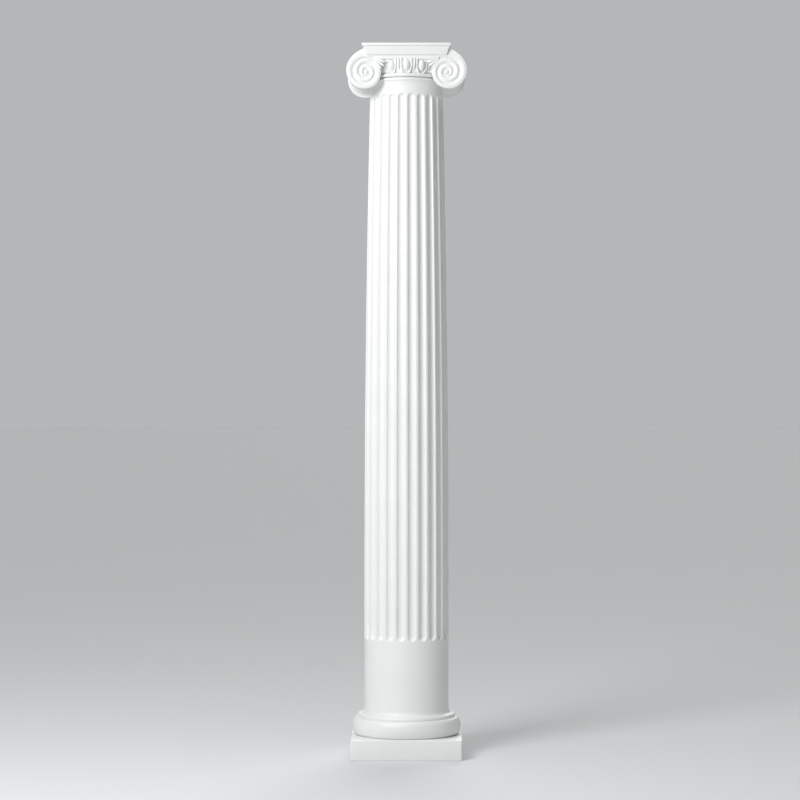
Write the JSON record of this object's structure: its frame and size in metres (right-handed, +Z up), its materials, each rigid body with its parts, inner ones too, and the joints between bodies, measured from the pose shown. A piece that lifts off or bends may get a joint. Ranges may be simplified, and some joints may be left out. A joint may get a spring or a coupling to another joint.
{
  "type": "ionic column",
  "caption": "Free-standing decorative Ionic column: fluted tapering shaft, scrolled capital with egg-and-dart band, round torus and square plinth, in satin white.",
  "frame": {"origin": "centre of the plinth's underside, where the column stands on the floor", "axes": "+Z up the column's axis; -Y and +Y towards the two scroll faces of the capital; X from scroll to scroll"},
  "size_m": [0.337, 0.312, 2],
  "materials": {
    "base_shell": "satin white gel coat over glass-fibre",
    "shaft_shell": "satin white gel coat over glass-fibre",
    "capital_shell": "satin white gel coat over glass-fibre"
  },
  "bodies": {
    "root": {"base": "base_shell", "shaft": "shaft_shell", "capital": "capital_shell"}
  },
  "joints": []
}
